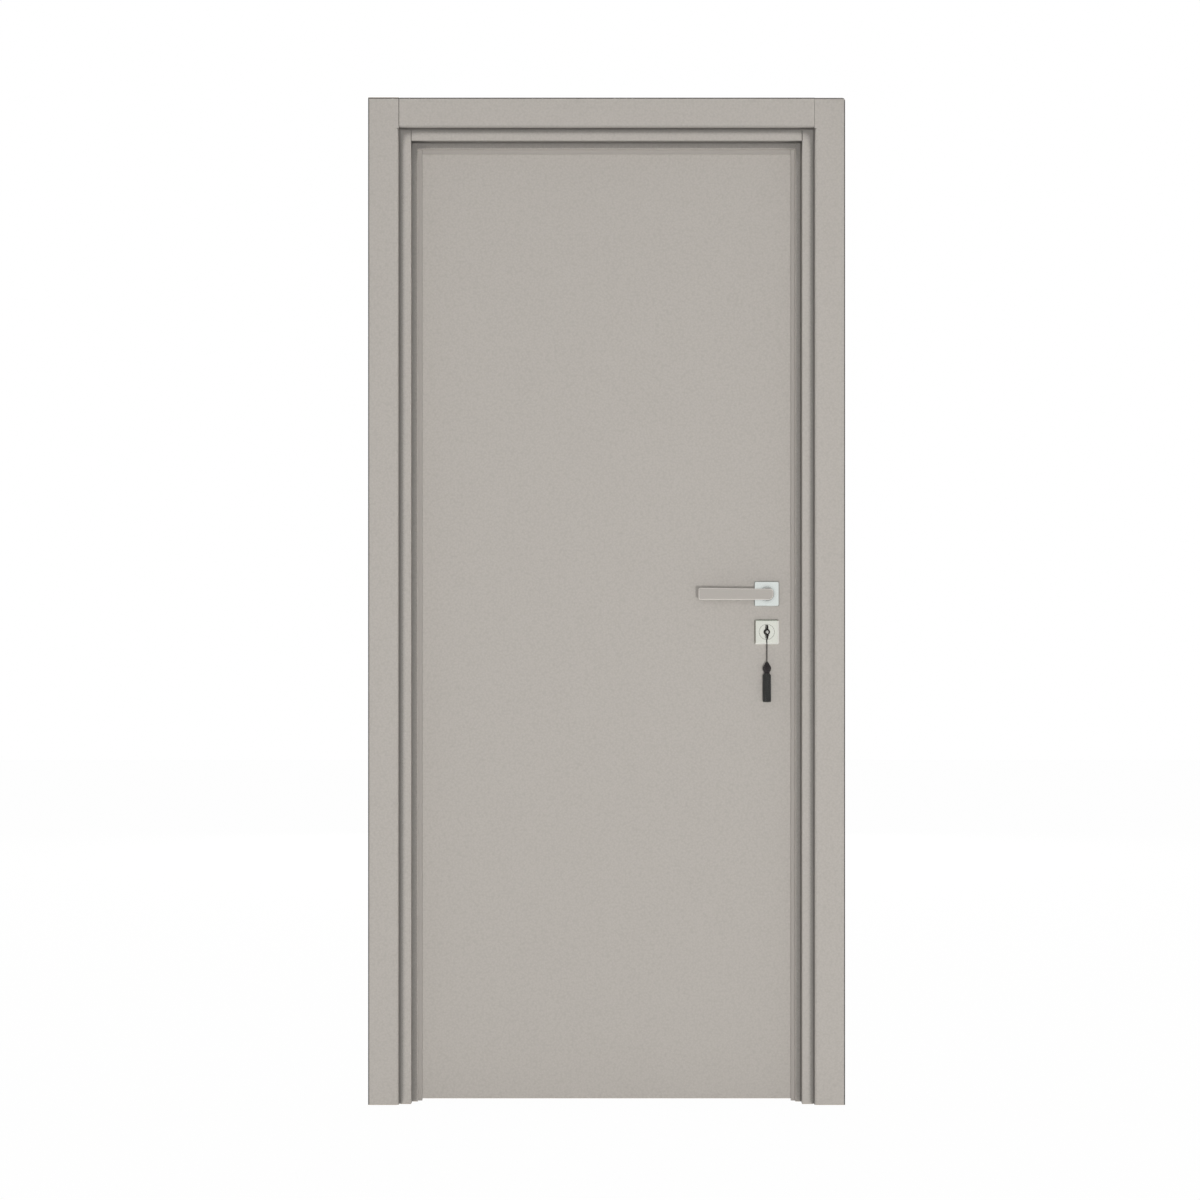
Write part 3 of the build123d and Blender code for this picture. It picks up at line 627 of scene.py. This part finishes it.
def buildScrews(steel):
    tree = screwTree()
    recess = (screw["recessLength"], screw["recessWidth"], 2 * screw["recessDepth"])
    placesByBody = screwPlaces()
    for body, places in placesByBody.items():
        points = bpy.data.meshes.new("screwPlaces")
        points.from_pydata([place[:3] for place in places], [], [])
        points.attributes.new("facing", "FLOAT", "POINT").data.foreach_set("value", [p[3] for p in places])
        piece = grow("plate_screws_" + body, tree, {
            "Head radius": screw["headRadius"], "Crown radius": screw["crownRadius"],
            "Proud": screw["proud"], "Recess": recess, "Seed": screw["seed"], "Steel": steel,
        }, points)
        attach(piece, body)
    print("screws:", sum(len(places) for places in placesByBody.values()))


# tassel: a cord looped round the key's neck, knotted, with a netted head and a skirt of loose yarns
tassel = {
    "ply": 0.6 * mm,             # radius of each of the cord's three plies
    "plies": 3,
    "lay": 7.5 * mm,             # length of one turn of the plies
    "tail": 20 * mm,             # how far the cord runs on among the yarns, which are bound to it
    "loopSteps": 96,
    "knotPly": 0.95 * mm,
    "knotAside": 1.3 * mm,       # its middle, to the right of the cord
    "knotReach": (2.2 * mm, 1.2 * mm),       # half its width and half its depth
    "knotSteps": 90,
    "netYarns": 11,              # yarns each way over the head
    "netTurn": 0.42,             # share of a turn that each makes on its way down
    "netYarn": 0.55 * mm,
    "netSteps": 30,
    "bindingTurns": 4,
    "bindingSteps": 28,          # in each turn
    "yarns": 230,
    "yarnRadius": 0.6 * mm,
    "yarnSides": 6,
    "yarnPoints": 14,
    "yarnWave": 1.3 * mm,
    "yarnWaves": 1.6,            # about as many bends in each yarn
    "shortest": 0.955,           # the shortest yarn beside the longest
    "neckShare": 0.06,           # the skirt swells to its full width in this share of its length
    "yarnSeed": 3,
}


def tubes(name, centrelines, radius, closed, material):
    data = bpy.data.curves.new(name, "CURVE")
    data.dimensions = "3D"
    data.bevel_depth = radius
    data.bevel_resolution = 2
    data.use_fill_caps = not closed
    for points in centrelines:
        spline = data.splines.new("POLY")
        spline.points.add(len(points) - 1)
        for point, place in zip(spline.points, points):
            point.co = (*place, 1.0)
        spline.use_cyclic_u = closed
    line = bpy.data.objects.new(name, data)
    mesh = bpy.data.meshes.new_from_object(line)
    bpy.data.objects.remove(line)
    mesh.materials.append(material)
    mesh.shade_smooth()
    return newObject(name, mesh)


def join(target, others):
    with bpy.context.temp_override(active_object=target, selected_editable_objects=[target, *others]):
        bpy.ops.object.join()
    return target


def laidPlies(path, across, lay):
    # three plies wound round a path; across is a direction that stays square to it
    plies = []
    for index in range(tassel["plies"]):
        run, ply, before = 0.0, [], path[0]
        for step, place in enumerate(path):
            run += (place - before).length
            ahead = path[(step + 1) % len(path)] if step + 1 < len(path) else place
            along = (ahead - before).normalized()
            side = along.cross(across).normalized()
            turn = 2 * math.pi * (run / lay + index / tassel["plies"])
            ply.append(place + tassel["ply"] * (math.cos(turn) * side + math.sin(turn) * across))
            before = place
        plies.append(ply)
    return plies


def splinePath(points):
    # the route as one smooth NURBS line, read back as the points that the plies follow
    data = bpy.data.curves.new("route", "CURVE")
    data.dimensions = "3D"
    data.resolution_u = 40
    spline = data.splines.new("NURBS")
    spline.points.add(len(points) - 1)
    for point, place in zip(spline.points, points):
        point.co = (*place, 1.0)
    spline.order_u = 3
    spline.use_endpoint_u = True
    line = bpy.data.objects.new("route", data)
    mesh = bpy.data.meshes.new_from_object(line)
    bpy.data.objects.remove(line)
    return [vertex.co.copy() for vertex in mesh.vertices]


def aroundPlumb(angle, radius, z):
    return (plumbX + radius * math.cos(angle), plumbY + radius * math.sin(angle), z)


def buildString(material):
    top, foot = stringBox[1].z, skirtBox[1].z - tassel["tail"]
    path = splinePath([Vector((plumbX, plumbY, z)) for z in (top, (top + foot) / 2, foot)])
    plies = laidPlies(path, Vector((0, 1, 0)), tassel["lay"])
    piece = tubes("tassel_string", plies, tassel["ply"], False, material)
    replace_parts(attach(piece, "tassel"), "tassel_cord")
    return piece, path


def buildLoop(material):
    low, high = loopBox
    roseLow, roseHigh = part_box("key_rose_front")
    neck = (roseLow.z + roseHigh.z) / 2
    outer = high.z - neck
    ring = outer - tassel["ply"]
    path = []
    for step in range(tassel["loopSteps"]):
        a = 2 * math.pi * step / tassel["loopSteps"]
        path.append(Vector((plumbX + ring * math.sin(a), plumbY, neck + ring * math.cos(a))))
    turns = round(2 * math.pi * ring / tassel["lay"])
    plies = laidPlies(path, Vector((0, 1, 0)), 2 * math.pi * ring / turns)
    loop = tubes("tassel_loop_cord", plies, tassel["ply"], True, material)
    knotFoot = low.z + tassel["knotPly"]
    knotTop = neck - outer + 2 * tassel["ply"]
    knot = tubes("knot", [overhandKnot(knotFoot, knotTop)], tassel["knotPly"], True, material)
    join(loop, [knot])
    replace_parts(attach(loop, "tassel"), "tassel_loop")
    return loop


def overhandKnot(foot, top):
    # a trefoil drawn tight: three crossings, taller than wide, a little to one side of the cord
    half = (top - foot) / 2
    halfWidth, halfDepth = tassel["knotReach"]
    knot = []
    for step in range(tassel["knotSteps"]):
        u = 2 * math.pi * step / tassel["knotSteps"]
        across = (math.sin(u) + 2 * math.sin(2 * u)) / 3
        up = (math.cos(u) - 2 * math.cos(2 * u)) / 3
        x = plumbX + tassel["knotAside"] + halfWidth * across
        knot.append(Vector((x, plumbY - halfDepth * math.sin(3 * u), foot + half + half * up)))
    return knot


# half the head's outline, from the cord down: mm from its axis, mm below its top
headOutline = ((2.0, 0.0), (4.4, -4.2), (6.9, -8.2), (8.2, -11.2), (8.3, -14.2), (7.4, -17.6), (5.4, -20.6))
headEasing = 0.35                # 0 joins the outline's points with straight lines, 1 with full curves


def headRadius(depth):
    for (r0, z0), (r1, z1) in zip(headOutline, headOutline[1:]):
        if z0 >= depth >= z1:
            share = (z0 - depth) / (z0 - z1)
            curved = share * share * (3 - 2 * share)
            return r0 + (r1 - r0) * (curved * headEasing + share * (1 - headEasing))
    return headOutline[-1][0]


def turnedHead(material):
    top, sides, rings = headBox[1].z, 40, 36
    foot = headOutline[-1][1]
    vertices, faces = [], []
    for ring in range(rings + 1):
        depth = foot * ring / rings
        radius = headRadius(depth) * mm - tassel["netYarn"] * 0.5
        for side in range(sides):
            vertices.append(aroundPlumb(2 * math.pi * side / sides, radius, top + depth * mm))
    for ring in range(rings):
        for side in range(sides):
            here, beside = ring * sides + side, ring * sides + (side + 1) % sides
            faces.append((here, here + sides, beside + sides, beside))
    faces.append(tuple(range(sides)))
    faces.append(tuple(reversed(range(rings * sides, (rings + 1) * sides))))
    mesh = bpy.data.meshes.new("tassel_head_netted")
    mesh.from_pydata(vertices, [], faces)
    mesh.materials.append(material)
    mesh.shade_smooth()
    return newObject("tassel_head_netted", mesh)


def buildHead(material):
    top = headBox[1].z
    footRadius, foot = headOutline[-1]
    net = []
    for way in (1, -1):
        for index in range(tassel["netYarns"]):
            yarn = []
            for step in range(tassel["netSteps"] + 1):
                share = step / tassel["netSteps"]
                depth = foot * share
                a = 2 * math.pi * (index / tassel["netYarns"] + way * tassel["netTurn"] * share)
                yarn.append(aroundPlumb(a, headRadius(depth) * mm, top + depth * mm))
            net.append(yarn)
    turns, steps = tassel["bindingTurns"], tassel["bindingSteps"]
    start = top + foot * mm
    pitch = (start - headBox[0].z) / turns
    binding = [
        aroundPlumb(2 * math.pi * step / steps, footRadius * mm, start - pitch * step / steps)
        for step in range(turns * steps + 1)
    ]
    head = turnedHead(material)
    join(head, [
        tubes("net", net, tassel["netYarn"], False, material),
        tubes("binding", [binding], tassel["netYarn"], False, material),
    ])
    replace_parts(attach(head, "tassel"), "tassel_head")
    return head


def skirtTree():
    tree, given = newTree("hangingYarns", {
        "Count": "Int", "Length": "Float", "Radius": "Float", "Neck": "Float", "Yarn": "Float",
        "Wave": "Float", "Seed": "Int", "Top": "Vector", "Rayon": "Material",
    })
    index = addNode(tree, "GeometryNodeInputIndex").outputs[0]
    angle = maths(tree, "MULTIPLY", index, math.pi * (3 - math.sqrt(5)))     # spread evenly, like seeds
    share = maths(tree, "SQRT", maths(tree, "DIVIDE", maths(tree, "ADD", index, 0.5), given["Count"]))
    reach = maths(tree, "MULTIPLY", share, given["Radius"])
    cut = addNode(
        tree, "FunctionNodeRandomValue", {"data_type": "FLOAT", 2: tassel["shortest"], 3: 1.0},
        {"Seed": given["Seed"]},
    ).outputs[1]
    points = addNode(tree, "GeometryNodePoints", links={"Count": given["Count"]}).outputs[0]
    for label, value in (("angle", angle), ("reach", reach), ("cut", cut)):
        store = addNode(tree, "GeometryNodeStoreNamedAttribute", {"Name": label}, {"Geometry": points})
        tree.links.new(value, store.inputs["Value"])
        points = store.outputs[0]
    line = addNode(tree, "GeometryNodeCurvePrimitiveLine", {"End": (0, 0, -1)})
    fine = addNode(tree, "GeometryNodeResampleCurve", {"Count": tassel["yarnPoints"]}, {
        "Curve": line.outputs[0],
    })
    strands = addNode(tree, "GeometryNodeInstanceOnPoints", links={
        "Points": points, "Instance": fine.outputs[0],
    })
    single = addNode(tree, "GeometryNodeRealizeInstances", links={0: strands.outputs[0]})
    down = addNode(tree, "GeometryNodeSplineParameter").outputs["Factor"]
    held = {}
    for label in ("angle", "reach", "cut"):
        settings = {"data_type": "FLOAT", "Name": label}
        held[label] = addNode(tree, "GeometryNodeInputNamedAttribute", settings).outputs[0]
    swell = addNode(tree, "ShaderNodeMapRange", {
        "interpolation_type": "SMOOTHSTEP", "From Max": tassel["neckShare"], "To Max": 1.0,
    }, {"Value": down, "To Min": given["Neck"]})
    seedPoint = addNode(tree, "ShaderNodeCombineXYZ", links={
        "X": held["angle"], "Y": maths(tree, "MULTIPLY", down, tassel["yarnWaves"]),
    })
    waves = addNode(tree, "ShaderNodeTexNoise", {"Scale": 1.0, "Detail": 0.0}, {
        "Vector": seedPoint.outputs[0],
    })
    centred = vectorMaths(tree, "SUBTRACT", waves.outputs["Color"], (0.5, 0.5, 0.5))[0]
    swing = maths(tree, "MULTIPLY", down, given["Wave"])
    sway = addNode(tree, "ShaderNodeVectorMath", {"operation": "SCALE"}, {0: centred, "Scale": swing})
    radius = maths(tree, "MULTIPLY", held["reach"], swell.outputs[0])
    drop = maths(tree, "MULTIPLY", maths(tree, "MULTIPLY", held["cut"], down), given["Length"])
    hung = addNode(tree, "ShaderNodeCombineXYZ", links={
        "X": maths(tree, "MULTIPLY", radius, maths(tree, "COSINE", held["angle"])),
        "Y": maths(tree, "MULTIPLY", radius, maths(tree, "SINE", held["angle"])),
        "Z": maths(tree, "MULTIPLY", drop, -1.0),
    })
    swayed = vectorMaths(tree, "ADD", hung.outputs[0], sway.outputs[0])[0]
    moved = addNode(tree, "GeometryNodeSetPosition", links={
        "Geometry": single.outputs[0], "Position": vectorMaths(tree, "ADD", swayed, given["Top"])[0],
    })
    section = addNode(tree, "GeometryNodeCurvePrimitiveCircle", {"Resolution": tassel["yarnSides"]}, {
        "Radius": given["Yarn"],
    })
    solid = addNode(tree, "GeometryNodeCurveToMesh", {"Fill Caps": True}, {
        "Curve": moved.outputs[0], "Profile Curve": section.outputs[0],
    })
    endTree(tree, solid.outputs[0], given["Rayon"])
    return tree


def buildSkirt(material):
    low, high = skirtBox
    outer = (high.x - low.x) / 2
    piece = grow("tassel_skirt_yarns", skirtTree(), {
        "Count": tassel["yarns"], "Length": high.z - low.z, "Radius": outer - tassel["yarnRadius"],
        "Neck": headOutline[-1][0] * mm / outer, "Yarn": tassel["yarnRadius"],
        "Wave": tassel["yarnWave"], "Seed": tassel["yarnSeed"], "Top": (plumbX, plumbY, high.z),
        "Rayon": material,
    })
    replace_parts(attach(piece, "tassel"), "tassel_skirt")
    return piece


def buildTassel():
    cord = rayonFinish("cord")
    string, path = buildString(cord)
    loop = buildLoop(cord)
    head = buildHead(rayonFinish("head"))
    skirt = buildSkirt(rayonFinish("yarn"))
    print("tassel: string", round((path[0] - path[-1]).length / mm, 1), "mm,", tassel["yarns"], "yarns")


# plain studio: pale floor, white behind, a broad softbox on each side of the door, one small key low
# on the right, and two black cards that only the polished metal sees
studio = {
    "floorReach": 14.0,
    "floorColour": "ECEAE7",
    "floorWhite": 0.985,         # share of plain white that the camera sees in the floor
    "worldStrength": 0.29,
    "lamps": {
        "key": {"place": (1.42, -7.2, 0.34), "aim": (0.60, 0.0, 1.05), "size": 0.42, "watts": 186.0},
        "front": {"place": (0.25, -7.4, 1.40), "aim": (0.43, 0.0, 1.05), "size": 2.6, "watts": 138.0},
        "back": {"place": (0.43, 7.4, 1.80), "aim": (0.43, 0.0, 1.05), "size": 2.6, "watts": 280.0},
        "left": {"place": (-6.9, 0.9, 1.80), "aim": (-0.04, 0.0, 1.05), "size": 2.0, "watts": 200.0},
        "right": {"place": (7.8, 0.9, 1.80), "aim": (0.91, 0.0, 1.05), "size": 2.0, "watts": 200.0},
    },
    "cardColour": "1E1E1E",
    "cards": {
        "above": {"middle": (0.8, -2.2, 3.0), "across": (1.6, 0.0, 0.0), "along": (0.0, 1.8, 0.0)},
        "left": {"middle": (-1.9, -2.2, 1.1), "across": (0.0, 1.8, 0.0), "along": (0.0, 0.0, 1.0)},
    },
}


def flatSheet(name, middle, across, along):
    corners = [middle + a * across + b * along for a, b in ((-1, -1), (1, -1), (1, 1), (-1, 1))]
    mesh = bpy.data.meshes.new(name)
    mesh.from_pydata(corners, [], [(0, 1, 2, 3)])
    return newObject(name, mesh)


def buildStage():
    reach = studio["floorReach"]
    obj = flatSheet("studioFloor", Vector((0, 0, 0)), Vector((reach, 0, 0)), Vector((0, reach, 0)))
    material, tree, shader = newFinish(
        "paintedFloor", {"Base Color": linear(studio["floorColour"]), "Roughness": 0.8}
    )
    white = addNode(tree, "ShaderNodeEmission", {"Strength": 1.0})
    seen = maths(tree, "MULTIPLY", seenByEye(tree), studio["floorWhite"])
    mixed = addNode(tree, "ShaderNodeMixShader", links={0: seen, 1: shader.outputs[0], 2: white.outputs[0]})
    tree.links.new(mixed.outputs[0], tree.nodes["Material Output"].inputs["Surface"])
    obj.data.materials.append(material)
    obj.visible_shadow = False          # so that it doesn't add to the painted corner shade at the door's feet
    world = bpy.data.worlds.new("whiteStudio")
    bpy.context.scene.world = world
    world.use_nodes = True
    sky = world.node_tree
    up = axisParts(sky, addNode(sky, "ShaderNodeTexCoord").outputs["Generated"])["Z"]
    above = maths(sky, "GREATER_THAN", up, 0.0)       # no light from the half that the floor hides
    light = maths(sky, "MULTIPLY", above, studio["worldStrength"])
    strength = blendValue(sky, seenByEye(sky), light, 1.0)
    background = sky.nodes["Background"]
    background.inputs["Color"].default_value = (1, 1, 1, 1)
    sky.links.new(strength, background.inputs["Strength"])


def seenByEye(tree):
    # by the camera itself, in a reflection or through glass
    ray = addNode(tree, "ShaderNodeLightPath").outputs
    direct = maths(tree, "MAXIMUM", ray["Is Camera Ray"], ray["Is Glossy Ray"])
    return maths(tree, "MAXIMUM", direct, ray["Is Transmission Ray"])


def buildCards():
    black = newFinish("blackCard", {"Base Color": linear(studio["cardColour"]), "Roughness": 0.9})[0]
    for name, card in studio["cards"].items():
        middle, across, along = (Vector(card[key]) for key in ("middle", "across", "along"))
        obj = flatSheet("card_" + name, middle, across, along)
        obj.data.materials.append(black)
        obj.visible_camera = obj.visible_diffuse = obj.visible_shadow = False


def buildLights():
    for name, lamp in studio["lamps"].items():
        data = bpy.data.lights.new(name + "Softbox", "AREA")
        data.size = lamp["size"]
        data.energy = lamp["watts"]
        obj = newObject(name + "Softbox", data)
        obj.location = lamp["place"]
        obj.visible_glossy = False
        obj.rotation_euler = (Vector(lamp["aim"]) - obj.location).to_track_quat("-Z", "Y").to_euler()


buildCamera()
finishBoards()
steel = finishMetals()
print("finishes given to", len(nodes), "solids")
buildScrews(steel)
buildTassel()
buildStage()
buildCards()
buildLights()
bpy.context.scene.view_settings.view_transform = "Standard"
